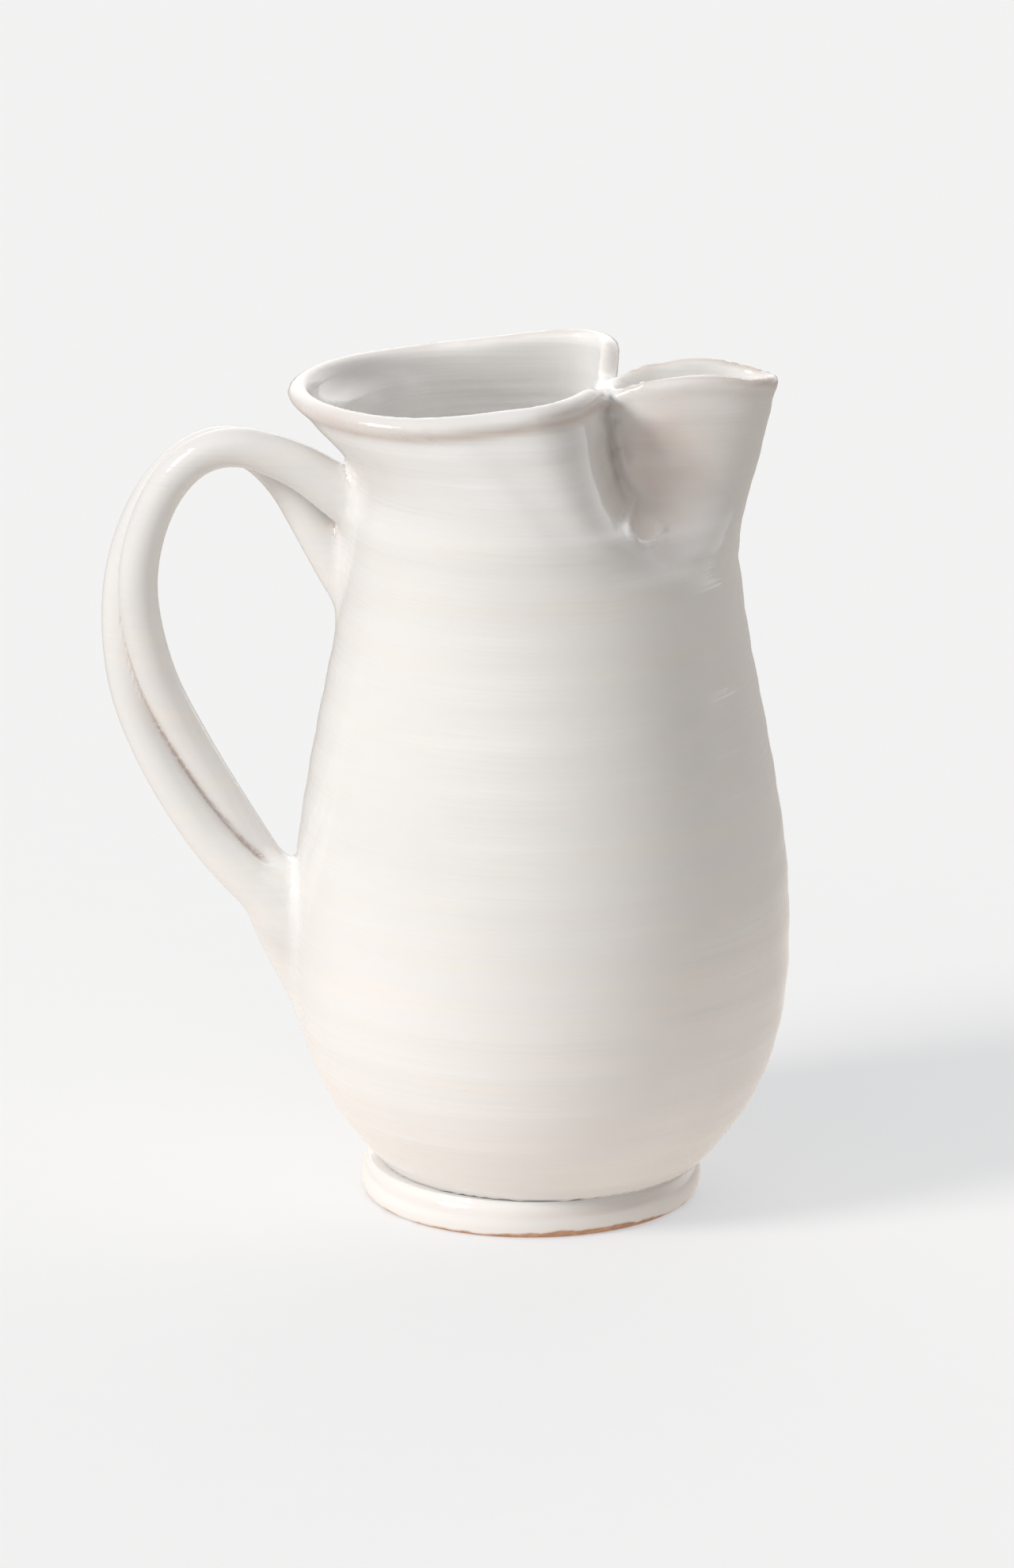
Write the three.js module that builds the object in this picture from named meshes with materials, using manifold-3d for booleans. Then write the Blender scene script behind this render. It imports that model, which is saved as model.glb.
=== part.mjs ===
// Hand-thrown glazed pitcher with a pinched spout and a rope handle of two twisted coils.
// Millimetres, +Z up. The origin is the centre of the flat base. +X points to the spout.

import * as THREE from "three";
import { mergeVertices } from "three/addons/utils/BufferGeometryUtils.js";
import Module from "manifold-3d";

const wasm = await Module();
wasm.setup();

// Driving dimensions
const GAP = 0.35; // clearance kept between neighbouring pieces
const WALL = 5.6; // thickness of the thrown wall
const BELLY_X = 3.2; // the belly leans this far from the foot towards the spout
const FOOT_TOP = 10.4;
const FLOOR_TOP = 19; // inside floor of the vessel
const PINCH_Z = 203.5; // height where the neck stops being round
const RIM_Z = 240.6;
const CORNER_LIFT = 5.7; // the rim rises at the two corners beside the pinch
const SPOUT_LIFT = 3; // the rim bulges up along the middle of the spout
const SPOUT_RISE = 2.6; // and the whole spout rim stands this much higher
const LIP_ROUND = 2.4; // height of the rounding on the lip
const FRONT_SKEW = 0.1; // the pinch is turned a little: sideways reach moves it along X
const MOUTH_HALF_WIDTH = 45.6;
const NEAR_CORNER = 3.3; // squareness of the mouth's two front corners: 2 is round
const FAR_CORNER = 4.8;
const CAVITY_LEAD = 3; // the cavities follow the folds this much lower, to keep the wall thick
const COIL_RADIUS = 5.7;
const SECTION_SIDES = 40;
const COIL_SIDES = 8;
const COIL_STEPS = 40;

// Thrown profile: radius and height, from the groove above the foot to where the pinch starts
const PROFILE = [
  [46.6, 10.8],
  [51, 15.6],
  [56.8, 23],
  [62.8, 33],
  [67.6, 46],
  [70.5, 62],
  [71.3, 80],
  [70.2, 101],
  [67.2, 122.5],
  [63.4, 144],
  [59.4, 165],
  [57.2, 180],
  [56.2, 194],
  [55.9, PINCH_Z],
];

// Reach of the handle side and of the spout side from the belly axis, above the round neck
const BACK = [
  [55.9, PINCH_Z],
  [54, 211],
  [54.6, 216],
  [58.6, 222.5],
  [65.2, 229],
  [70.2, 234],
  [71.6, 238],
  [71.6, 250],
];
const TIP = [
  [56, 180],
  [56.3, 190],
  [56.7, 197],
  [57.6, 203.5],
  [60.6, 214],
  [63.6, 224.5],
  [65.9, 233.5],
  [67.6, 240],
  [67.6, 260],
];

// Front of the main mouth, and back and half width of the spout, where the pinch forms them
const MOUTH_FRONT = [
  [57.2, 180],
  [56, 188],
  [52.5, 194],
  [46, 199],
  [38.5, 203],
  [32.5, 206.5],
  [26, 210],
  [22.4, 214],
  [20.6, 220],
  [19.8, 228],
  [19.6, 236],
  [19.6, 260],
];
const SPOUT_HEEL = [
  [-52.5, 180],
  [-52, 196],
  [-48, 201],
  [-38, 204.5],
  [-23, 207.5],
  [-7, 211],
  [4, 215],
  [10, 220.5],
  [13.2, 227],
  [14.5, 235],
  [14.5, 260],
];
const SPOUT_WIDTH = [
  [49, 180],
  [51.4, 187],
  [50.4, 193],
  [46, 198],
  [38.4, 202],
  [29.6, 205.5],
  [22.4, 209],
  [17.6, 213],
  [15, 218],
  [13.9, 225],
  [13.4, 234],
  [13.3, 260],
];

const smooth = (t) => {
  const s = Math.min(1, Math.max(0, t));
  return s * s * (3 - 2 * s);
};
const mix = (a, b, t) => a + (b - a) * t;

// Reads a table of [value, position] rows at any position between its ends
function readTable(table, at) {
  const i = Math.max(1, table.findIndex(([, position]) => position >= at));
  const [v0, p0] = table[i - 1];
  const [v1, p1] = table[i];
  return mix(v0, v1, (at - p0) / (p1 - p0));
}

// A closed ring round (centreX, 0), an ellipse with two squarer corners on the spout side
function ring(centreX, back, front, halfY, nearPower, farPower, z) {
  return Array.from({ length: SECTION_SIDES }, (_, i) => {
    const angle = (2 * Math.PI * i) / SECTION_SIDES;
    const c = Math.cos(angle);
    const s = Math.sin(angle);
    const squarer = s < 0 ? nearPower : farPower;
    const n = c > 0 ? squarer : 2;
    const x = centreX + (c > 0 ? front : back) * Math.sign(c) * Math.abs(c) ** (2 / n);
    const y = halfY * Math.sign(s) * Math.abs(s) ** (2 / n);
    return [BELLY_X + x, y, z];
  });
}

const disc = (radius, z) => ring(0, radius, radius, radius, 2, 2, z);

// The main mouth: round below the pinch, then set back towards the handle with square corners
function mouthRing(z, inset) {
  if (z <= 180) return disc(readTable(PROFILE, z) - inset, z);
  const rise = smooth((z - PINCH_Z) / (RIM_Z - PINCH_Z));
  const round = readTable(PROFILE, Math.min(z, PINCH_Z));
  const lead = inset > LIP_ROUND ? CAVITY_LEAD : 0;
  const centre = -24 * rise;
  const back = (z < PINCH_Z ? round : readTable(BACK, z)) + centre - inset;
  const front = readTable(MOUTH_FRONT, z + lead) - centre - inset;
  const halfY = mix(round, MOUTH_HALF_WIDTH, rise) - inset;
  const square = smooth((z - 196) / 20);
  return ring(centre, back, front, halfY, mix(2, NEAR_CORNER, square), mix(2, FAR_CORNER, square), z);
}

// The spout: as wide as the neck where it leaves it, narrowing quickly to the pouring lip
function spoutRing(z, inset) {
  const lead = inset > LIP_ROUND ? CAVITY_LEAD : 0;
  const tip = readTable(TIP, z) - inset;
  const heel = readTable(SPOUT_HEEL, z) + 1.7 * inset;
  const halfY = readTable(SPOUT_WIDTH, z + lead) - inset;
  const half = (tip - heel) / 2;
  return ring(heel + half, half, half, halfY, 2, 2, z);
}

// The front of the rim is turned a little, and lifted at the corners and along the spout
function shapeRim(points) {
  return points.map(([x, y, z]) => {
    const u = x - BELLY_X;
    const front = Math.exp(-(((u - 17) / 21) ** 2));
    const side = smooth((Math.abs(y) - 7) / 20) * mix(0.84, 1, smooth((y + 20) / 40));
    const corner = CORNER_LIFT * side * smooth((u + 48) / 70) * (1 - smooth((u - 22) / 12));
    const bulge = SPOUT_LIFT * Math.exp(-(((u - 45) / 15) ** 2));
    const spout = bulge + (SPOUT_RISE - 0.03 * y) * smooth((u - 19) / 11);
    const high = smooth((z - 208) / (RIM_Z - 208));
    return [x + FRONT_SKEW * y * front * high, y, z + (corner + spout) * high];
  });
}

// Skin a stack of rings from the lowest to the highest and close both ends
function loft(rings) {
  const positions = rings.flat(2);
  const last = rings.length - 1;
  const middle = (points) => [0, 1, 2].map((k) => points.reduce((sum, p) => sum + p[k], 0) / points.length);
  const low = rings.length * SECTION_SIDES;
  positions.push(...middle(rings[0]), ...middle(rings[last]));
  const faces = [];
  for (let i = 0; i < SECTION_SIDES; i += 1) {
    const j = (i + 1) % SECTION_SIDES;
    faces.push(low, j, i);
    faces.push(low + 1, last * SECTION_SIDES + i, last * SECTION_SIDES + j);
    for (let k = 0; k < last; k += 1) {
      const a = k * SECTION_SIDES;
      const b = a + SECTION_SIDES;
      faces.push(a + i, a + j, b + j);
      faces.push(a + i, b + j, b + i);
    }
  }
  const geometry = new THREE.BufferGeometry();
  geometry.setAttribute("position", new THREE.Float32BufferAttribute(positions, 3));
  geometry.setIndex(faces);
  return geometry;
}

function solid(geometry) {
  const bare = geometry.clone();
  bare.deleteAttribute("normal");
  bare.deleteAttribute("uv");
  const merged = mergeVertices(bare, 1e-4);
  const mesh = new wasm.Mesh({
    numProp: 3,
    vertProperties: new Float32Array(merged.attributes.position.array),
    triVerts: new Uint32Array(merged.index.array),
  });
  return new wasm.Manifold(mesh);
}

function largest(body) {
  return body.decompose().sort((a, b) => b.volume() - a.volume())[0];
}

function geometryOf(body) {
  const { numProp, vertProperties, triVerts } = body.getMesh();
  const positions = [];
  for (let i = 0; i < vertProperties.length; i += numProp) {
    positions.push(...vertProperties.slice(i, i + 3));
  }
  const geometry = new THREE.BufferGeometry();
  geometry.setAttribute("position", new THREE.Float32BufferAttribute(positions, 3));
  geometry.setIndex([...triVerts]);
  geometry.computeVertexNormals();
  return geometry;
}

const levels = (from, to, count) => Array.from({ length: count }, (_, i) => mix(from, to, i / (count - 1)));

const BELLY_LEVELS = PROFILE.map(([, z]) => z).filter((z) => z < 185);
const MOUTH_LEVELS = [...levels(188, 212, 8), ...levels(216, RIM_Z - LIP_ROUND, 6)];
const SPOUT_LEVELS = [...levels(194, 214, 7), ...levels(219, RIM_Z - LIP_ROUND, 5)];

function outerMouth(extra) {
  const rings = [...BELLY_LEVELS, ...MOUTH_LEVELS].map((z) => mouthRing(z, -extra));
  rings.push(mouthRing(RIM_Z, LIP_ROUND * 0.6 - extra));
  return solid(loft(rings.map(shapeRim)));
}

function outerSpout() {
  const rings = [180, 187, ...SPOUT_LEVELS].map((z) => spoutRing(z, 0));
  rings.push(spoutRing(RIM_Z, LIP_ROUND * 0.6));
  return solid(loft(rings.map(shapeRim)));
}

// The lip's inner edge is rounded, and both cavities run out through the top
const LIP_LEVELS = [
  [RIM_Z + 0.3, WALL - LIP_ROUND * 0.6],
  [RIM_Z + 9, WALL - LIP_ROUND],
];

function mouthCavity() {
  const floor = [disc(42, FLOOR_TOP), disc(48, FLOOR_TOP + 2.5)];
  const belly = BELLY_LEVELS.filter((z) => z > FLOOR_TOP + 8).map((z) => mouthRing(z, WALL));
  const neck = MOUTH_LEVELS.map((z) => mouthRing(z, WALL));
  const lip = LIP_LEVELS.map(([z, inset]) => mouthRing(z, inset));
  return solid(loft([...floor, ...belly, ...neck, ...lip].map(shapeRim)));
}

function spoutCavity() {
  const rings = [187, ...SPOUT_LEVELS].map((z) => spoutRing(z, WALL));
  rings.push(...LIP_LEVELS.map(([z, inset]) => spoutRing(z, inset)));
  return solid(loft(rings.map(shapeRim)));
}

// The two cavities stay apart under the rim, so a bridge of clay is left behind the spout
function vesselWall() {
  const outside = outerMouth(0).add(outerSpout());
  return largest(outside.subtract(mouthCavity()).subtract(spoutCavity()));
}

// Foot: flat base, rounded edge, drawn in at the groove under the wall
function turnedFoot() {
  const outline = [
    [0, 0],
    [46.4, 0],
    [48.3, 1.6],
    [49.2, 4.6],
    [48.8, 7.4],
    [47.4, 9.6],
    [46, FOOT_TOP],
    [0, FOOT_TOP],
  ];
  const points = outline.map(([r, z]) => new THREE.Vector2(r, z));
  const geometry = new THREE.LatheGeometry(points, SECTION_SIDES);
  geometry.rotateX(Math.PI / 2);
  return geometry;
}

// Centre line of the rope handle from the belly axis: out of the neck, over the arch, to the belly
const HANDLE_LINE = new THREE.CatmullRomCurve3(
  [
    [-45, 193],
    [-60, 206],
    [-72, 215.5],
    [-86, 221.5],
    [-98.5, 219],
    [-109, 208],
    [-115.8, 191],
    [-117.4, 173],
    [-113.8, 151.5],
    [-105, 131],
    [-93, 110.5],
    [-81, 94],
    [-70, 81],
    [-58, 70],
  ].map(([x, z]) => new THREE.Vector3(x + BELLY_X, 0, z)),
  false,
  "centripetal",
);

// Twist of the first coil round the centre line, in degrees from the outer side, and place along it
const TWIST = [
  [25, 0],
  [50, 0.1],
  [76, 0.21],
  [113, 0.45],
  [152, 0.59],
  [182, 0.68],
  [215, 0.78],
  [252, 0.87],
  [290, 1],
];

class CoilCurve extends THREE.Curve {
  constructor(phase) {
    super();
    this.phase = phase;
  }

  getPoint(t, target = new THREE.Vector3()) {
    const point = HANDLE_LINE.getPointAt(t, target);
    const tangent = HANDLE_LINE.getTangentAt(t);
    const outward = new THREE.Vector3(tangent.z, 0, -tangent.x);
    const angle = this.phase + THREE.MathUtils.degToRad(readTable(TWIST, t));
    const spacing = COIL_RADIUS + GAP / 2;
    point.addScaledVector(outward, spacing * Math.cos(angle));
    point.y -= spacing * Math.sin(angle);
    return point;
  }
}

function coil(phase) {
  const section = new THREE.Shape();
  for (let i = 0; i < COIL_SIDES; i += 1) {
    const angle = (2 * Math.PI * i) / COIL_SIDES;
    section[i === 0 ? "moveTo" : "lineTo"](COIL_RADIUS * Math.cos(angle), COIL_RADIUS * Math.sin(angle));
  }
  section.closePath();
  return new THREE.ExtrudeGeometry(section, { steps: COIL_STEPS, extrudePath: new CoilCurve(phase) });
}

// Pads of clay smeared on the wall. Stations: inner and outer reach from the belly axis, half
// width, height
const UPPER_PAD = [
  [-51, -55, 3, 174],
  [-49, -57.4, 6.5, 180],
  [-48, -59.8, 9, 187],
  [-47, -62.4, 10.4, 194],
  [-46, -65, 11, 201],
  [-46, -65.5, 10.6, 208],
  [-47, -62.5, 8.6, 213],
  [-49, -58, 5, 216.5],
];
const LOWER_PAD = [
  [-60, -68, 3, 47],
  [-61, -71.5, 6, 54],
  [-62, -75.4, 8.4, 64],
  [-63, -80, 10, 74],
  [-64, -84, 11, 83],
  [-64, -85.5, 11, 90],
  [-63, -80, 9.4, 96],
  [-61, -73, 6, 101],
];

function pad(stations, extra) {
  const rings = stations.map(([inner, outer, halfY, z]) => {
    const half = (inner - outer) / 2 + extra;
    return ring((inner + outer) / 2, half, half, halfY + extra, 2, 2, z);
  });
  return solid(loft(rings));
}

const wallWithGap = outerMouth(GAP);
const padsWithGap = pad(UPPER_PAD, GAP).add(pad(LOWER_PAD, GAP));
const trimmedPad = (stations) => geometryOf(largest(pad(stations, 0).subtract(wallWithGap)));
const trimmedCoil = (phase) => {
  const clear = solid(coil(phase)).subtract(wallWithGap);
  return geometryOf(largest(clear.subtract(padsWithGap)));
};

const GLAZE = { color: 0xdcd8cf, roughness: 0.2, metalness: 0 };
const CLAY = { color: 0xa9714f, roughness: 0.7, metalness: 0 };

const pitcher = new THREE.Group();

function place(name, geometry, finish) {
  const mesh = new THREE.Mesh(geometry, new THREE.MeshStandardMaterial(finish));
  mesh.name = name;
  pitcher.add(mesh);
}

place("vessel_wall", geometryOf(vesselWall()), GLAZE);
place("turned_foot", turnedFoot(), CLAY);
place("upper_handle_pad", trimmedPad(UPPER_PAD), GLAZE);
place("lower_handle_pad", trimmedPad(LOWER_PAD), GLAZE);
place("outer_handle_coil", trimmedCoil(0), GLAZE);
place("inner_handle_coil", trimmedCoil(Math.PI), GLAZE);

export default pitcher;
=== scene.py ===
"""Glazed pitcher with a pinched spout and a rope handle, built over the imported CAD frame."""

import math

import bmesh
import bpy
import numpy as np
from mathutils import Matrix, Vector


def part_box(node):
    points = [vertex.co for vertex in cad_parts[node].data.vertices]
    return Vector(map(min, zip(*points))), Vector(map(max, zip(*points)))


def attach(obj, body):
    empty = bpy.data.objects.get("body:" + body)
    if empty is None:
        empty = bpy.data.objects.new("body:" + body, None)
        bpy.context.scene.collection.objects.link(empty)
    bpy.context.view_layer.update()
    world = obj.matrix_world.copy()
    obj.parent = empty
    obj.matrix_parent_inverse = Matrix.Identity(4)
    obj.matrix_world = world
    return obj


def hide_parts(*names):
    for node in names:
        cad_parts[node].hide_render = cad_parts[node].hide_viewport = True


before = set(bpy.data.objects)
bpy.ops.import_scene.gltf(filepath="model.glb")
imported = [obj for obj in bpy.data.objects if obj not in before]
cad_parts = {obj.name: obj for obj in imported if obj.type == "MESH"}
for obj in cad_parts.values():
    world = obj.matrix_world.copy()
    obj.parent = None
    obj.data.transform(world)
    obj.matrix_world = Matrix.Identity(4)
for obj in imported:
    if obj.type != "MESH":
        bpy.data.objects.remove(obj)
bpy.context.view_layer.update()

# ---------------------------------------------------------------------------------------------
# Sizes in millimetres. X is measured from the belly axis unless a comment says otherwise.

MM = 0.001
BELLY_X = 3.2  # the belly leans this far from the foot towards the spout
WALL = 5.4
THINNING = 1.7  # how much thinner the wall is at the lip of the spout
FLOOR_TOP = 19.0  # inside floor
PINCH_Z = 203.5  # height where the neck stops being round
RIM_Z = 240.6
CORNER_LIFT = 5.7  # the rim rises at the two corners beside the fold
NEAR_CORNER_SHARE = 0.84  # and by this share of it at the near corner
SPOUT_LIFT = 3.0  # the rim bulges up along the middle of the spout
SPOUT_RISE = 2.6  # and the whole spout rim stands this much higher
SPOUT_TILT = 0.03  # more on the near side than on the far side
FRONT_SKEW = 0.1  # the front is turned a little: sideways reach moves it along X
MOUTH_HALF_WIDTH = 45.6
NEAR_CORNER, FAR_CORNER = 3.3, 4.8  # squareness of the mouth's front corners: 2 is round
ROUND = 2.0
SPOUT_START = 184.0  # the spout's own form fades away below this height
BRIDGE = 6.0  # clay left between the mouth and the channel of the spout
SADDLE = (20.0, 224.0)  # centre (x, z) of the round of clay that joins the two folds
SADDLE_RADIUS = 12.5
LIP_ROUND = 5.0
FAR_AWAY = 60.0

groove_low, groove_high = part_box("turned_foot")[1][2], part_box("vessel_wall")[0][2]
GROOVE_Z = (groove_low + groove_high) / 2 / MM
WALL_BASE_Z = GROOVE_Z + 0.05
FOOT_TOP_Z = GROOVE_Z - 0.05

# Tables of (reach, height): the thrown profile, then the mouth and the spout where the fold forms them
PROFILE = [(46.2, 9), (47.4, 11.5), (51, 15.6), (56.8, 23), (62.8, 33), (67.6, 46), (70.5, 62), (71.2, 80),
           (70.2, 101), (67.2, 122.5), (63.4, 144), (59.4, 165), (57.2, 180), (56.2, 194), (55.9, 203.5),
           (55.9, 260)]
BACK = [(55.9, 190), (55.6, 203.5), (54, 211), (54.6, 216), (58.4, 222.5), (64.6, 229), (69.8, 233.6),
        (71.6, 237.6), (71.8, 242), (71.8, 260)]
MOUTH_FRONT = [(57.2, 180), (56, 188), (52.5, 194), (46, 199), (38.5, 203), (32.5, 206.5), (26, 210),
               (22.4, 214), (20.6, 220), (19.8, 228), (19.6, 236), (19.6, 260)]
SPOUT_WIDTH = [(50, 180), (51.4, 187), (50.4, 193), (46, 198), (38.4, 202), (29.6, 205.5), (22.4, 209),
               (17.6, 213), (15, 218), (13.9, 225), (13.4, 234), (13.3, 243), (13.3, 260)]
HEEL = [(-54, 186), (-52.5, 196), (-48, 201), (-38, 204.5), (-23, 207.5), (-7, 211), (4, 215), (10, 220.5),
        (13.2, 227), (14.5, 235), (14.5, 260)]
TIP = [(53.6, 180), (55, 186), (55.9, 191), (56.5, 197), (57.6, 203.5), (60.6, 214), (63.6, 224.5),
       (65.9, 233.5), (67.6, 240), (67.8, 260)]


def smooth(t):
    """A soft step from 0 to 1."""
    t = np.clip(t, 0.0, 1.0)
    return t * t * (3 - 2 * t)


def mix(a, b, t):
    return a + (b - a) * t


def smooth_min(a, b, k):
    """The smaller of two fields, rounded over a width of k where they are close."""
    h = np.maximum(k - np.abs(a - b), 0) / k
    return np.minimum(a, b) - h * h * k / 4


def smooth_max(a, b, k):
    return -smooth_min(-a, -b, k)


def bump(at, centre, width):
    return np.exp(-(((at - centre) / width) ** 2))


def fine_table(rows, step=0.25):
    """A smooth curve through (value, position) rows, sampled every step so that it reads fast."""
    values, places = (np.array(c, float) for c in zip(*rows))
    slopes = np.gradient(values, places)
    at = np.arange(places[0], places[-1], step)
    i = np.clip(np.searchsorted(places, at, side="right") - 1, 0, len(places) - 2)
    span = places[i + 1] - places[i]
    t = (at - places[i]) / span
    curve = ((1 + 2 * t) * (1 - t) ** 2 * values[i] + t * (1 - t) ** 2 * span * slopes[i]
             + t * t * (3 - 2 * t) * values[i + 1] + t * t * (t - 1) * span * slopes[i + 1])
    return lambda x: np.interp(x, at, curve)


profile_radius, back_reach, tip_reach = fine_table(PROFILE), fine_table(BACK), fine_table(TIP)
mouth_front, spout_half_width, spout_heel = fine_table(MOUTH_FRONT), fine_table(SPOUT_WIDTH), fine_table(HEEL)


# ---------------------------------------------------------------------------------------------
# Shape fields: negative inside, positive outside, close to millimetres near the surface.

def oval(u, y, back, front, half_y, power):
    """Distance along the ray from the centre to an oval that can be squarer at the front."""
    u = u + 1e-3
    reach = np.where(u > 0, front, back)
    n = mix(ROUND, power, smooth(u / front * 1.6))
    norm = (np.abs(u / reach) ** n + np.abs(y / half_y) ** n) ** (1 / n)
    return np.hypot(u, y) * (1 - 1 / norm)


def mouth_oval(x, y, z):
    rise = smooth((z - PINCH_Z) / (RIM_Z - PINCH_Z))
    centre = -24 * rise
    round_r = profile_radius(z)
    back = np.where(z > PINCH_Z, back_reach(z), round_r) + centre
    front = np.where(z > MOUTH_FRONT[0][1], mouth_front(z), round_r) - centre
    half_y = mix(round_r, MOUTH_HALF_WIDTH, rise)
    square = mix(NEAR_CORNER, FAR_CORNER, smooth((y + 18) / 36))
    return oval(x - centre, y, back, front, half_y, mix(ROUND, square, smooth((z - 196) / 20)))


def spout_oval(x, y, z):
    tip = tip_reach(z)
    heel = spout_heel(z)
    half_x = (tip - heel) / 2
    plain = oval(x - heel - half_x, y, half_x, half_x, spout_half_width(z), ROUND)
    return plain + 0.5 * np.maximum(SPOUT_START - z, 0)


def levelled(field, x, y, z):
    """Turns a distance measured level into one measured square to a sloping wall."""
    middle = field(x, y, z)
    slope = field(x, y, z + 0.5) - field(x, y, z - 0.5)
    return middle / np.sqrt(1 + slope * slope)


def unwarped(p):
    """Undoes the turn and the lift of the front of the rim, so plain rings describe it."""
    x, y, z = p[:, 0] - BELLY_X, p[:, 1], p[:, 2]
    front = bump(x, 17, 21)
    side = smooth((np.abs(y) - 7) / 20)
    tall = smooth((z - 208) / (RIM_Z - 208))
    corner = smooth((x + 48) / 70) * (1 - smooth((x - 22) / 12)) * side
    corner *= mix(NEAR_CORNER_SHARE, 1.0, smooth((y + 20) / 40))
    lip = SPOUT_LIFT * bump(x, 45, 15) + (SPOUT_RISE - SPOUT_TILT * y) * smooth((x - 19) / 11)
    return x - FRONT_SKEW * y * front * tall, y, z - (CORNER_LIFT * corner + lip) * tall


def throwing_rings(x, y, z):
    """The soft spiral left by the potter's fingers, in millimetres."""
    angle = np.arctan2(y, x)
    fade = smooth((z - 14) / 20)
    coarse = np.sin(2 * np.pi * z / 13.5 - angle + 1.2 * np.sin(z / 31 + angle))
    fine = np.sin(2 * np.pi * z / 5.6 - 2 * angle + 2.0 * np.sin(z / 17))
    lobes = np.sin(2 * angle + z / 60) + 0.6 * np.sin(3 * angle - z / 41 + 1)
    return fade * (0.1 * coarse + 0.035 * fine + 0.16 * lobes)


def forms(p):
    """The two forms that the wall is made of, the main mouth and the spout, and the plain height."""
    x, y, z = unwarped(p)
    return x, y, z, levelled(mouth_oval, x, y, z), levelled(spout_oval, x, y, z)


creases = []  # the two ridges beside the fold, which follow the wall and so are made after it


def wall_fields(p):
    """Outer skin and inner hollow of the thrown wall, and the plain height."""
    x, y, z, mouth, spout = forms(p)
    blend = 1.2 + 4.4 * smooth((z - 197) / 8) - 4.0 * smooth((z - 207) / 10)
    rolled = 1.2 - 0.8 * smooth((x - 20) / 8)
    lip = rolled * (bump(z, 237.9, 2.5) - 0.55 * bump(z, 232.8, 2.6))
    outer = smooth_min(mouth, spout, blend) - throwing_rings(x, y, z) - lip
    if creases:
        near = (p[:, 0] > 10) & (p[:, 0] < 50) & (p[:, 2] > 195)
        bead = np.minimum(creases[0].field(p[near]), creases[1].field(p[near]))
        outer[near] = smooth_min(outer[near], bead, 0.9)
    thin = WALL - THINNING * smooth((z - 222) / 14)
    saddle = SADDLE_RADIUS - np.sqrt((x - SADDLE[0]) ** 2 + (0.8 * y) ** 2 + (z - SADDLE[1]) ** 2)
    channel = smooth_max(smooth_max(spout + thin, spout_heel(z) + BRIDGE - x, 4.0), saddle, 5.0)
    hollow = smooth_min(mouth + WALL, channel, 4.0) - 0.5 * throwing_rings(x, y, z)
    hollow = smooth_max(hollow, FLOOR_TOP - z, 12.0)
    return outer, hollow, z


def hollowed(solid, hollow, z):
    """Cuts the inside out of a solid and levels it above the groove of the foot."""
    return smooth_max(smooth_max(solid, -hollow, 3.6), WALL_BASE_Z - z, 0.3)


STRAND_BATCH = 20000  # points worked on at once


class Strand:
    """A round coil of clay: a line of centres and the radius at each, both sampled finely."""

    def __init__(self, centres, radii):
        self.centres, self.radii = np.asarray(centres, float), np.asarray(radii, float)
        tangents = np.gradient(self.centres, axis=0)
        self.steps = np.linalg.norm(tangents, axis=1)
        self.tangents = tangents / self.steps[:, None]

    def field(self, p):
        out = np.empty(len(p))
        squares = (self.centres ** 2).sum(1)
        for start in range(0, len(p), STRAND_BATCH):
            q = p[start:start + STRAND_BATCH]
            nearest = np.argmin(squares - 2 * q @ self.centres.T, axis=1)
            offset = q - self.centres[nearest]
            along = (offset * self.tangents[nearest]).sum(1)
            along = np.clip(along, -self.steps[nearest], self.steps[nearest])
            gap = np.linalg.norm(offset - along[:, None] * self.tangents[nearest], axis=1)
            out[start:start + STRAND_BATCH] = gap - self.radii[nearest]
        return out


def smooth_path(points, count):
    """Catmull-Rom through given points, resampled evenly by length."""
    points = np.asarray(points, float)
    ends = np.vstack([2 * points[0] - points[1], points, 2 * points[-1] - points[-2]])
    fine = []
    for a, b, c, d in zip(ends, ends[1:], ends[2:], ends[3:]):
        for t in np.linspace(0, 1, 24, endpoint=False):
            fine.append(0.5 * (2 * b + (c - a) * t + (2 * a - 5 * b + 4 * c - d) * t * t
                               + (3 * b - a - 3 * c + d) * t ** 3))
    fine = np.array(fine + [points[-1]])
    length = np.r_[0, np.cumsum(np.linalg.norm(np.diff(fine, axis=0), axis=1))]
    return np.column_stack([np.interp(np.linspace(0, length[-1], count), length, fine[:, k])
                            for k in range(points.shape[1])])


# Where the fold's ridge runs on below the fold and hooks forward (x, z)
HOOK = [(23.8, 208.4), (26.6, 205.0), (29.8, 204.1), (32.6, 204.0), (34.0, 205.1), (33.4, 206.3)]


def surface_y(x, z, side):
    """How far out the wall's outer skin is, on one side, above a place on the middle plane."""
    out = side * np.arange(2, 62, 0.05)
    p = np.column_stack([np.full(len(out), x + BELLY_X), out, np.full(len(out), z)])
    return out[np.argmin(np.abs(wall_fields(p)[0]))]


def crease_bead(side):
    """The ridge of clay along the fold between the mouth and the spout, on one side (-1 or 1)."""
    path = []
    for height in np.linspace(238, 210.5, 12):
        u, v = (g.ravel() for g in np.meshgrid(np.arange(12, 40, 0.25), np.arange(4, 50, 0.25)))
        p = np.column_stack([u + BELLY_X, side * v, np.full(len(u), height)])
        _, _, _, mouth, spout = forms(p)
        path.append(p[np.argmin(np.abs(mouth) + np.abs(spout))] + (0.4, side * 0.5, 0))
    path += [(x + BELLY_X, surface_y(x, z, side), z) for x, z in HOOK]
    path = smooth_path(path, 160)
    t = np.linspace(0, 1, len(path))
    return Strand(path, mix(1.5, 0.6, smooth((t - 0.6) / 0.4)))


creases += [crease_bead(-1), crease_bead(1)]

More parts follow.
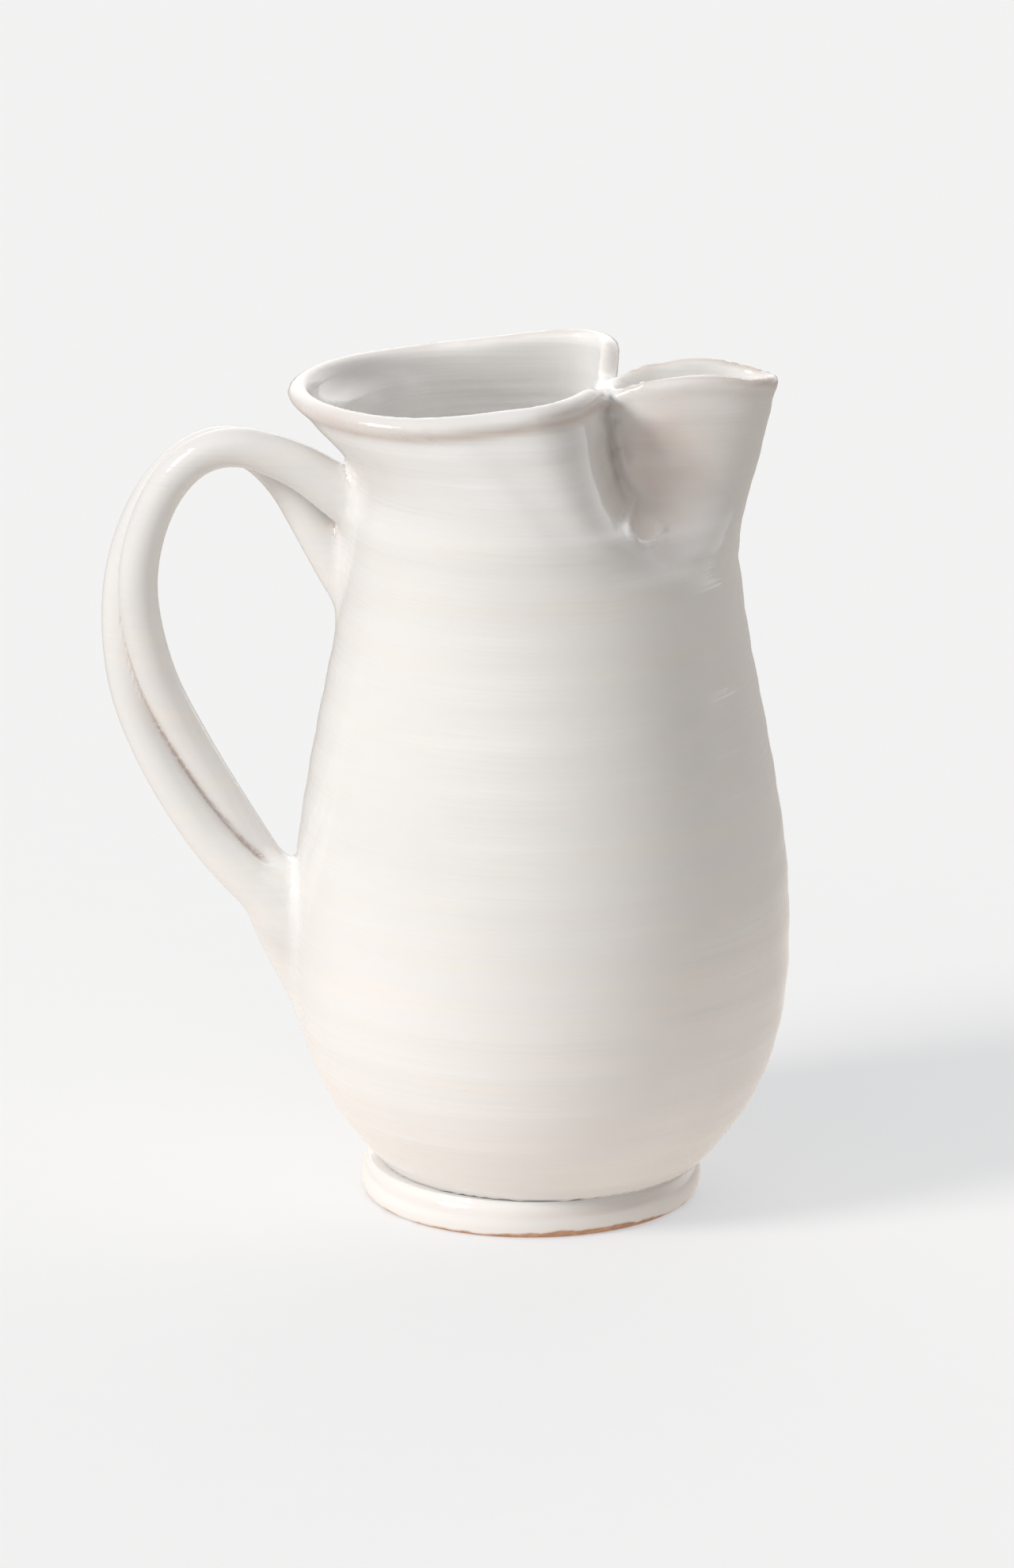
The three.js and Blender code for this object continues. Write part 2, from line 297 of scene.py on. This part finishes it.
# Centre line of the rope handle (x, z), the same as the CAD's
HANDLE_LINE = [(-45, 193), (-60, 206), (-72, 215.5), (-86, 221.5), (-98.5, 219), (-109, 208), (-115.8, 191),
               (-117.4, 173), (-113.8, 151.5), (-105, 131), (-93, 110.5), (-81, 94), (-70, 81), (-58, 70)]
# Twist of the first coil round the centre line: degrees from the outer side, place along it
TWIST = [(25, 0), (50, 0.1), (76, 0.21), (94, 0.33), (113, 0.45), (152, 0.59), (182, 0.68), (215, 0.78),
         (252, 0.87), (290, 1)]
# Radius of each coil, thicker where it is pressed on: radius, place along it
OUTER_RADIUS = [(9.0, 0), (8.2, 0.05), (6.8, 0.12), (5.9, 0.2), (5.7, 0.5), (5.6, 0.8), (6.4, 0.9), (7.5, 1)]
INNER_RADIUS = [(8.0, 0), (7.0, 0.05), (6.0, 0.12), (5.6, 0.2), (5.7, 0.5), (6.0, 0.8), (6.8, 0.9), (8.0, 1)]
COIL_SAMPLES = 260


def handle_coil(phase, radius_rows, drop):
    """One coil of the rope; the drop lowers its upper end, so the two ends lie one above the other."""
    line = smooth_path(HANDLE_LINE, COIL_SAMPLES)
    t = np.linspace(0, 1, COIL_SAMPLES)
    tangent = np.gradient(line, axis=0)
    tangent /= np.linalg.norm(tangent, axis=1)[:, None]
    turn = np.radians(phase + fine_table(TWIST, 0.005)(t))
    radius = fine_table(radius_rows, 0.005)(t)
    spacing = 5.75 - 0.35 * np.sin(np.pi * t)
    centres = np.column_stack([line[:, 0] + BELLY_X + tangent[:, 1] * spacing * np.cos(turn),
                               -spacing * np.sin(turn),
                               line[:, 1] - tangent[:, 0] * spacing * np.cos(turn)
                               - drop * (1 - smooth(t / 0.2))])
    return Strand(centres, radius)


def pad_strand(stations):
    """Stations are (x, y, z, radius) down the wall."""
    path = smooth_path(stations, 80)
    path[:, 0] += BELLY_X
    return Strand(path[:, :3], path[:, 3])


# Every piece of the handle is a strand. The pads' stations run down the wall.
strands = {
    "outer_handle_coil": handle_coil(0, OUTER_RADIUS, 0),
    "inner_handle_coil": handle_coil(180, INNER_RADIUS, 16),
    "upper_handle_pad": pad_strand([(-51.6, -1, 209, 5.2), (-51.8, -1, 202, 6.2), (-52.2, 0, 193, 6.2),
                                    (-52.8, 0, 184, 5.2), (-54, 0, 175, 3.2), (-54.8, 0, 167, 1.4)]),
    "lower_handle_pad": pad_strand([(-75, 0, 89, 8.2), (-74, 0, 82, 9.4), (-71.6, 0, 74, 8.6),
                                    (-69.2, 0, 66, 7.2), (-67, 0, 58, 5.6), (-65.2, 0, 50, 4),
                                    (-64.5, 0, 44, 2.4)]),
}
HANDLE_REACH_X = -38.0  # nothing of the handle reaches further towards the spout


def handle_fields(p):
    """The field of each strand, and the handle that they make together."""
    parts = {name: np.full(len(p), FAR_AWAY) for name in strands}
    near = p[:, 0] < HANDLE_REACH_X
    for name, strand in strands.items():
        parts[name][near] = strand.field(p[near])
    rope = smooth_min(parts["outer_handle_coil"], parts["inner_handle_coil"], 1.8)
    pads = np.minimum(parts["upper_handle_pad"], parts["lower_handle_pad"])
    return parts, smooth_min(rope, pads, np.where(p[:, 2] > 130, 2.4, 6.0))


def fused(p):
    """Every field of the pitcher above the groove, joined as the fired clay is."""
    outer, hollow, z = wall_fields(p)
    parts, handle = handle_fields(p)
    body = smooth_max(outer, z - RIM_Z, LIP_ROUND)
    whole = hollowed(smooth_min(body, handle, 3.6), hollow, z)
    return whole, hollowed(body, hollow, z), outer, parts


OVERLAP = 3.2  # how far a piece runs on under its neighbour's surface


def piece_field(name):
    """One piece of the whole: its share of the outer surface, closed under its neighbours."""
    def field(p):
        whole, wall, outer, parts = fused(p)
        if name == "vessel_wall":
            return smooth_max(whole, wall - OVERLAP, 1.5)
        own = smooth_max(whole, parts[name] - OVERLAP, 1.5)
        return smooth_max(own, -(outer + 3.0), 1.0)
    return field


# ---------------------------------------------------------------------------------------------
# Meshing: one vertex in each grid cell that the surface crosses, then moved onto the surface

def surface_net(values, axes):
    """Points and quads where a field sampled on a grid changes sign."""
    inside = values < 0
    shape = tuple(n - 1 for n in values.shape)

    def corner(array, i, j, k):
        return array[i:i + shape[0], j:j + shape[1], k:k + shape[2]]

    count = sum(corner(inside, i, j, k).astype(np.int8) for i in (0, 1) for j in (0, 1) for k in (0, 1))
    active = (count > 0) & (count < 8)
    cells = np.argwhere(active)
    sums, hits = np.zeros((len(cells), 3)), np.zeros(len(cells))
    for axis in range(3):
        for a in (0, 1):
            for b in (0, 1):
                start = np.insert([a, b], axis, 0)
                end = start.copy()
                end[axis] = 1
                v0 = values[tuple((cells + start).T)]
                v1 = values[tuple((cells + end).T)]
                crossed = (v0 < 0) != (v1 < 0)
                t = np.where(crossed, v0 / np.where(crossed, v0 - v1, 1), 0)
                place = (cells + start).astype(float)
                place[:, axis] += t
                sums[crossed] += place[crossed]
                hits[crossed] += 1
    grid = sums / hits[:, None]
    points = np.column_stack([np.interp(grid[:, k], np.arange(len(axes[k])), axes[k]) for k in range(3)])
    index = np.full(shape, -1)
    index[tuple(cells.T)] = np.arange(len(cells))
    quads = []
    for axis in range(3):
        first = [slice(1, -1)] * 3
        second = [slice(1, -1)] * 3
        first[axis], second[axis] = slice(None, -1), slice(1, None)
        v0, v1 = inside[tuple(first)], inside[tuple(second)]
        edges = np.argwhere(v0 != v1)
        outward = v0[tuple(edges.T)]
        edges += np.array([0 if k == axis else 1 for k in range(3)])
        u, v = [(1, 2), (2, 0), (0, 1)][axis]
        around = []
        for du, dv in ((1, 1), (0, 1), (0, 0), (1, 0)):
            cell = edges.copy()
            cell[:, u] -= du
            cell[:, v] -= dv
            around.append(index[tuple(cell.T)])
        quad = np.column_stack(around)
        quads.append(np.where(outward[:, None], quad, quad[:, ::-1]))
    return points, np.vstack(quads)


def gradient(field, p, step=0.12):
    columns = []
    for k in range(3):
        shift = np.zeros(3)
        shift[k] = step
        columns.append((field(p + shift) - field(p - shift)) / (2 * step))
    return np.column_stack(columns)


def relaxed(points, quads, amount):
    """Moves each point towards the middle of its neighbours."""
    sums, hits = np.zeros_like(points), np.zeros(len(points))
    for k in range(4):
        for other in (1, 3):
            np.add.at(sums, quads[:, k], points[quads[:, (k + other) % 4]])
            np.add.at(hits, quads[:, k], 1)
    return mix(points, sums / hits[:, None], amount)


def onto_surface(field, points, limit):
    """One Newton step of each point to where the field is zero, no longer than the limit."""
    value = field(points)
    slope = gradient(field, points)
    step = value[:, None] * slope / np.maximum((slope ** 2).sum(1), 0.05)[:, None]
    length = np.linalg.norm(step, axis=1)[:, None]
    return points - step * np.minimum(1, limit / np.maximum(length, 1e-9))


GRID_BATCH = 400000  # points worked on at once


def mesh_from_field(field, axes, spacing):
    grid = np.stack(np.meshgrid(*axes, indexing="ij"), -1).reshape(-1, 3)
    batches = np.array_split(grid, max(1, len(grid) // GRID_BATCH))
    values = np.concatenate([field(batch) for batch in batches])
    points, quads = surface_net(values.reshape([len(a) for a in axes]), axes)
    for _ in range(3):
        points = relaxed(points, quads, 0.6)
        points = onto_surface(field, points, spacing / 2)
    return onto_surface(field, points, spacing / 2), quads


def levels(start, stop, spacing):
    return np.arange(start, stop + spacing, spacing)


def new_object(name, points, faces):
    mesh = bpy.data.meshes.new(name)
    mesh.vertices.add(len(points))
    mesh.vertices.foreach_set("co", (points * MM).ravel())
    sides = faces.shape[1]
    mesh.loops.add(faces.size)
    mesh.loops.foreach_set("vertex_index", faces.ravel())
    mesh.polygons.add(len(faces))
    mesh.polygons.foreach_set("loop_start", np.arange(0, faces.size, sides))
    mesh.polygons.foreach_set("loop_total", np.full(len(faces), sides))
    mesh.update(calc_edges=True)
    mesh.polygons.foreach_set("use_smooth", np.ones(len(faces), bool))
    obj = bpy.data.objects.new(name, mesh)
    bpy.context.scene.collection.objects.link(obj)
    return obj


def set_attribute(obj, name, values):
    attribute = obj.data.attributes.new(name, "FLOAT", "POINT")
    attribute.data.foreach_set("value", values)


def bending(points, quads):
    """Sum of the two curvatures at each point, per millimetre, positive on a rounded edge."""
    normals = np.zeros_like(points)
    across = np.cross(points[quads[:, 2]] - points[quads[:, 0]], points[quads[:, 3]] - points[quads[:, 1]])
    for k in range(4):
        np.add.at(normals, quads[:, k], across)
    normals /= np.maximum(np.linalg.norm(normals, axis=1), 1e-9)[:, None]
    rise = ((points - relaxed(points, quads, 1.0)) * normals).sum(1)
    squares = (points ** 2).sum(1)[:, None]
    mean = relaxed(points, quads, 1.0)
    reach = (relaxed(squares, quads, 1.0) - 2 * (points * mean).sum(1)[:, None] + squares)[:, 0]
    bend = (4 * rise / np.maximum(reach, 0.1))[:, None]
    for _ in range(3):
        bend = relaxed(bend, quads, 0.7)
    return bend[:, 0]


def finish_piece(obj, node, material):
    obj.data.materials.append(material)
    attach(obj, "root")
    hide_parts(node)


WALL_SPACING = 1.6
HANDLE_SPACING = 1.0
MARGIN = 4.5  # grid kept round the CAD box


def field_grid(node):
    """The grid that a piece is meshed on, finer in height above the neck, and its spacing."""
    corner, far = (np.array(c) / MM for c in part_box(node))
    if node != "vessel_wall":
        margin, spacing = 1.6 * MARGIN, HANDLE_SPACING
        return [levels(corner[k] - margin, far[k] + margin, spacing) for k in range(3)], spacing
    spacing = WALL_SPACING
    level = [levels(corner[k] - MARGIN, far[k] + MARGIN, spacing) for k in range(2)]
    below = levels(corner[2] - MARGIN, 196, spacing * 1.3)
    above = levels(198, far[2] + MARGIN, spacing * 0.9)
    return [*level, np.r_[below, above]], spacing


def field_piece(node, material):
    axes, spacing = field_grid(node)
    points, faces = mesh_from_field(piece_field(node), axes, spacing)
    obj = new_object("glazed_" + node, points, faces)
    bend = bending(points, faces)
    outer = wall_fields(points)[0]
    x, y, z = unwarped(points)
    skin = np.abs(outer) < 1
    sharp = 0.8 * smooth((bend - 0.17) / 0.35)
    rim_line = 0.75 * bump(z, 235.0, 1.1) * skin * (1 - 0.6 * smooth((x - 20) / 8))
    # fold is painted shade: a darker, browner patch on the spout's side below the mouth's corner, where the
    # key light's shadow falls; it goes into the "edge" attribute beside the thin glaze on sharp edges and
    # under the lip
    fold = bump(x, 35, 11) * bump(z, 219, 13) * skin * (np.abs(y) < 40)
    # The "inside" attribute paints light: the glaze inside the mouth is made lighter to brighten the hollow.
    set_attribute(obj, "inside", smooth((-outer - 3.5) / 1.5) * (node == "vessel_wall"))
    set_attribute(obj, "edge", np.maximum(np.maximum(sharp, rim_line), np.minimum(1.3 * fold, 1)))
    set_attribute(obj, "pit", 0.6 * smooth((-bend - 0.22) / 0.4))
    finish_piece(obj, node, material)


# ---------------------------------------------------------------------------------------------
# Foot: a turned disc with a rounded side, closed under the wall

# (radius, height)
FOOT_PROFILE = [(44, 0.0), (46.6, 0.0), (47.7, 0.35), (48.4, 1.2), (48.9, 2.6), (49.2, 4.4), (49.1, 6.2),
                (48.5, 8.0), (47.7, 9.2), (47.0, 10.0), (46.7, FOOT_TOP_Z), (43.5, FOOT_TOP_Z)]
FOOT_SIDES = 256
FLAT_RINGS = [30.0, 14.0, 2.0]  # radii of the rings on the two flat faces
BARE_ANGLE, BARE_SPREAD = 17, 34  # where the bare clay reaches highest, in degrees from the near side


def turned_foot(material):
    outline = smooth_path(FOOT_PROFILE, 64)
    outline[:, 1] = np.clip(outline[:, 1], 0, FOOT_TOP_Z)
    angles = np.linspace(0, 2 * np.pi, FOOT_SIDES, endpoint=False)
    rows = []
    for radius, height in outline:
        wobble = 1 + 0.0016 * np.sin(3 * angles + 0.6) + 0.0012 * np.sin(5 * angles + height / 3)
        rows.append(np.column_stack([radius * wobble * np.cos(angles), radius * wobble * np.sin(angles),
                                     np.full(FOOT_SIDES, height)]))
    for radius in FLAT_RINGS:
        ring = [radius * np.cos(angles), radius * np.sin(angles)]
        rows.insert(0, np.column_stack(ring + [np.zeros(FOOT_SIDES)]))
        rows.append(np.column_stack(ring + [np.full(FOOT_SIDES, FOOT_TOP_Z)]))
    points = np.vstack(rows)
    i = np.arange(FOOT_SIDES)
    j = (i + 1) % FOOT_SIDES
    quads = [np.column_stack([k * FOOT_SIDES + i, k * FOOT_SIDES + j, (k + 1) * FOOT_SIDES + j,
                              (k + 1) * FOOT_SIDES + i]) for k in range(len(rows) - 1)]
    obj = new_object("glazed_foot", points, np.vstack(quads))
    bm = bmesh.new()
    bm.from_mesh(obj.data)
    bm.verts.ensure_lookup_table()
    last = (len(rows) - 1) * FOOT_SIDES
    bm.faces.new([bm.verts[k] for k in reversed(range(FOOT_SIDES))])
    bm.faces.new([bm.verts[last + k] for k in range(FOOT_SIDES)])
    bm.to_mesh(obj.data)
    bm.free()
    angle = np.arctan2(points[:, 1], points[:, 0])
    facing = bump(np.degrees(angle + np.pi / 2), BARE_ANGLE, BARE_SPREAD)
    height = points[:, 2]
    set_attribute(obj, "bare", np.where(height < 0.02, 3.0, 0.55 + 1.6 * facing - height))
    set_attribute(obj, "inside", np.zeros(len(points)))
    radius = np.hypot(points[:, 0], points[:, 1])
    set_attribute(obj, "edge", 0.3 * bump(height, 7.4, 1.6) * smooth((radius - 47) / 1.5))
    set_attribute(obj, "pit", np.zeros(len(points)))
    finish_piece(obj, "turned_foot", material)


# ---------------------------------------------------------------------------------------------
# Materials

def new_material(name):
    material = bpy.data.materials.new(name)
    material.use_nodes = True
    nodes = material.node_tree.nodes
    return material, nodes, material.node_tree.links, nodes["Principled BSDF"]


def connect(nodes, links, kind, **inputs):
    """Adds a node, sets its unlinked inputs, links its linked ones, and returns it."""
    node = nodes.new(kind)
    for key, value in inputs.items():
        if key.startswith("in_"):
            socket = node.inputs[int(key[3:])]
            if isinstance(value, bpy.types.NodeSocket):
                links.new(value, socket)
            else:
                socket.default_value = value
        else:
            setattr(node, key, value)
    return node


def noise(nodes, links, vector, scale, detail, stretch=(1, 1, 1), roughness=0.5):
    """Noise in metres of the object, stretched by the given factors."""
    moved = connect(nodes, links, "ShaderNodeVectorMath", operation="MULTIPLY", in_0=vector, in_1=stretch)
    made = connect(nodes, links, "ShaderNodeTexNoise", in_0=moved.outputs[0])
    made.inputs["Scale"].default_value = scale
    made.inputs["Detail"].default_value = detail
    made.inputs["Roughness"].default_value = roughness
    return made.outputs["Fac"]


def attribute(nodes, links, name):
    return connect(nodes, links, "ShaderNodeAttribute", attribute_name=name).outputs["Fac"]


def ramp(nodes, links, value, low, high, out_low=0.0, out_high=1.0):
    node = connect(nodes, links, "ShaderNodeMapRange", interpolation_type="SMOOTHSTEP", in_0=value, in_1=low,
                   in_2=high, in_3=out_low, in_4=out_high)
    return node.outputs[0]


def math_node(nodes, links, operation, a, b):
    return connect(nodes, links, "ShaderNodeMath", operation=operation, in_0=a, in_1=b).outputs[0]


def tint(nodes, links, fac, under, over):
    node = connect(nodes, links, "ShaderNodeMix", data_type="RGBA")
    for socket, value in ((0, fac), (6, under), (7, over)):
        if isinstance(value, bpy.types.NodeSocket):
            links.new(value, node.inputs[socket])
        else:
            node.inputs[socket].default_value = value
    return node.outputs[2]


GLAZE = (0.815, 0.80, 0.785, 1)
GLAZE_GREY = (0.765, 0.75, 0.738, 1)
GLAZE_CREAM = (0.84, 0.81, 0.765, 1)
# painted light: a lighter colour for the inside of the mouth
PAINTED_LIGHT_INSIDE = (0.92, 0.905, 0.88, 1)
# thin glaze on edges and round the bare foot, and painted shade in the fold beside the spout
THIN_GLAZE_AND_FOLD_SHADE = (0.62, 0.50, 0.43, 1)
BROWN = (0.30, 0.155, 0.09, 1)
TERRACOTTA = (0.47, 0.265, 0.165, 1)
TERRACOTTA_LIGHT = (0.58, 0.36, 0.24, 1)
CLAY_ROUGHNESS = 0.82


def glaze_material(name, foot=False):
    material, nodes, links, shader = new_material(name)
    place = nodes.new("ShaderNodeTexCoord").outputs["Object"]
    banding = noise(nodes, links, place, 30, 3, (0.5, 0.5, 7.0))
    clouds = noise(nodes, links, place, 16, 4)
    speckle = noise(nodes, links, place, 900, 2)
    colour = tint(nodes, links, ramp(nodes, links, banding, 0.42, 0.72, 0, 0.7), GLAZE, GLAZE_CREAM)
    colour = tint(nodes, links, ramp(nodes, links, clouds, 0.45, 0.75, 0, 0.6), colour, GLAZE_GREY)
    # Painted light: the inside of the mouth is tinted lighter.
    colour = tint(nodes, links, attribute(nodes, links, "inside"), colour, PAINTED_LIGHT_INSIDE)
    patchy = ramp(nodes, links, clouds, 0.3, 0.65, 0.35, 1.0)
    # The "edge" attribute holds thin glaze on sharp edges and under the lip, and painted shade in the fold
    # beside the spout.
    thin_glaze_and_shade_mix = math_node(nodes, links, "MULTIPLY", attribute(nodes, links, "edge"), patchy)
    colour = tint(nodes, links, thin_glaze_and_shade_mix, colour, THIN_GLAZE_AND_FOLD_SHADE)
    colour = tint(nodes, links, attribute(nodes, links, "pit"), colour, BROWN)
    fleck = ramp(nodes, links, speckle, 0.78, 0.83, 0, 0.3)
    colour = tint(nodes, links, fleck, colour, BROWN)
    roughness = ramp(nodes, links, clouds, 0.3, 0.7, 0.06, 0.13)
    rings = noise(nodes, links, place, 60, 3, (0.25, 0.25, 9.0))
    peel = noise(nodes, links, place, 260, 2)
    relief = math_node(nodes, links, "ADD", rings, math_node(nodes, links, "MULTIPLY", peel, 0.25))
    if foot:
        ragged = noise(nodes, links, place, 95, 4, (1, 1, 0.4))
        edge_noise = math_node(nodes, links, "MULTIPLY", ramp(nodes, links, ragged, 0.3, 0.7, -1, 1), 0.5)
        level = math_node(nodes, links, "ADD", attribute(nodes, links, "bare"), edge_noise)
        uncovered = ramp(nodes, links, level, -0.12, 0.1)
        halo = ramp(nodes, links, level, -0.7, 0.0, 0, 0.6)
        colour = tint(nodes, links, halo, colour, THIN_GLAZE_AND_FOLD_SHADE)
        grog = ramp(nodes, links, noise(nodes, links, place, 420, 5), 0.35, 0.7)
        clay = tint(nodes, links, grog, TERRACOTTA, TERRACOTTA_LIGHT)
        colour = tint(nodes, links, uncovered, colour, clay)
        rough_clay = connect(nodes, links, "ShaderNodeMix", data_type="FLOAT", in_0=uncovered, in_2=roughness,
                             in_3=CLAY_ROUGHNESS)
        roughness = rough_clay.outputs[0]
    links.new(colour, shader.inputs["Base Color"])
    links.new(roughness, shader.inputs["Roughness"])
    shader.inputs["IOR"].default_value = 1.52
    surface = connect(nodes, links, "ShaderNodeBump")
    surface.inputs["Strength"].default_value = 0.35
    surface.inputs["Distance"].default_value = 0.0004
    links.new(relief, surface.inputs["Height"])
    links.new(surface.outputs[0], shader.inputs["Normal"])
    return material


# ---------------------------------------------------------------------------------------------
# Stage, light and camera

BACKDROP = (0.887, 0.887, 0.887, 1)
FLOOR = (0.50, 0.47, 0.44, 1)
FLOOR_GRAIN = (0.49, 0.461, 0.432, 1)
FLOOR_SHOWN = (0.39, 0.42, 0.45, 1)  # what the paper shows to the camera over its lit colour
FLOOR_GLOW = (0.45, 0.415, 0.385, 1)  # what it throws back on the pitcher, close round the foot
# Direction, power (higher is narrower), strength and colour of each soft glow round the studio
LOBES = [((0.0, 0.93, 0.36), 5, 1.8, (1.0, 0.99, 0.98)), ((-0.3, -0.45, 0.84), 3, 0.85, (1.0, 1.0, 1.0)),
         ((-0.38, -0.82, 0.42), 6, 0.7, (1.0, 1.0, 1.0)), ((0.8, 0.58, 0.16), 8, 1.75, (1.0, 0.98, 0.97))]
FILL = (0.035, 0.032, 0.03)  # what comes from everywhere
KEY_FROM = (-0.72, -0.42, 0.56)
KEY_POWER = 1.85
KEY_ANGLE = math.radians(18)


def vector_math(nodes, links, operation, **inputs):
    return connect(nodes, links, "ShaderNodeVectorMath", operation=operation, **inputs)


def studio_world():
    """Soft glows round the pitcher; the camera sees plain paper instead."""
    world = bpy.data.worlds.new("studio")
    bpy.context.scene.world = world
    world.use_nodes = True
    nodes, links = world.node_tree.nodes, world.node_tree.links
    background = nodes["Background"]
    direction = nodes.new("ShaderNodeTexCoord").outputs["Generated"]
    total = FILL
    for toward, power, strength, colour in LOBES:
        unit = Vector(toward).normalized()
        facing = vector_math(nodes, links, "DOT_PRODUCT", in_0=direction, in_1=unit)
        lit = math_node(nodes, links, "MAXIMUM", facing.outputs["Value"], 0.0)
        lit = math_node(nodes, links, "POWER", lit, power)
        glow = vector_math(nodes, links, "SCALE", in_0=[c * strength for c in colour])
        links.new(lit, glow.inputs["Scale"])
        total = vector_math(nodes, links, "ADD", in_0=total, in_1=glow.outputs[0]).outputs[0]
    seen = nodes.new("ShaderNodeLightPath").outputs["Is Camera Ray"]
    links.new(tint(nodes, links, seen, total, BACKDROP), background.inputs["Color"])


def stage():
    bpy.ops.mesh.primitive_plane_add(size=30)
    floor = bpy.context.object
    floor.name = "studio_floor"
    material, nodes, links, shader = new_material("studio_paper")
    shader.inputs["Roughness"].default_value = 1.0
    shader.inputs["Specular IOR Level"].default_value = 0.0
    place = nodes.new("ShaderNodeTexCoord").outputs["Object"]
    away = vector_math(nodes, links, "LENGTH", in_0=place).outputs["Value"]
    near = ramp(nodes, links, away, 0.12, 0.55, 1, 0)
    glow = tint(nodes, links, near, (0, 0, 0, 1), FLOOR_GLOW)
    seen = nodes.new("ShaderNodeLightPath").outputs["Is Camera Ray"]
    links.new(tint(nodes, links, seen, glow, FLOOR_SHOWN), shader.inputs["Emission Color"])
    shader.inputs["Emission Strength"].default_value = 1.0
    grain = noise(nodes, links, place, 60, 4)
    links.new(tint(nodes, links, grain, FLOOR, FLOOR_GRAIN), shader.inputs["Base Color"])
    floor.data.materials.append(material)


def key_light():
    light = bpy.data.lights.new("key_left", "SUN")
    light.angle = KEY_ANGLE
    light.energy = KEY_POWER
    obj = bpy.data.objects.new("key_left", light)
    obj.location = Vector(KEY_FROM) * 2
    obj.rotation_euler = (-Vector(KEY_FROM)).to_track_quat("-Z", "Y").to_euler()
    bpy.context.scene.collection.objects.link(obj)


CAMERA_DISTANCE = 3.2
CAMERA_ELEVATION = math.radians(16.5)
CAMERA_TARGET = Vector((-0.0068, 0, 0.1214))
SCALE_AT_TARGET = 0.2273 * 1980  # millimetres of the long side seen at the target


def camera():
    data = bpy.data.cameras.new("camera")
    data.sensor_fit = "AUTO"
    data.sensor_width = 36
    data.lens = 36 * CAMERA_DISTANCE / (SCALE_AT_TARGET * MM)
    data.clip_end = 50
    obj = bpy.data.objects.new("camera", data)
    back = Vector((0, -math.cos(CAMERA_ELEVATION), math.sin(CAMERA_ELEVATION)))
    obj.location = CAMERA_TARGET + back * CAMERA_DISTANCE
    obj.rotation_euler = (-back).to_track_quat("-Z", "Y").to_euler()
    bpy.context.scene.collection.objects.link(obj)
    bpy.context.scene.camera = obj


glaze = glaze_material("white_glaze")
for node in ["vessel_wall", *strands]:
    field_piece(node, glaze)
turned_foot(glaze_material("foot_glaze", foot=True))
studio_world()
stage()
key_light()
bpy.context.scene.view_settings.view_transform = "Standard"
camera()
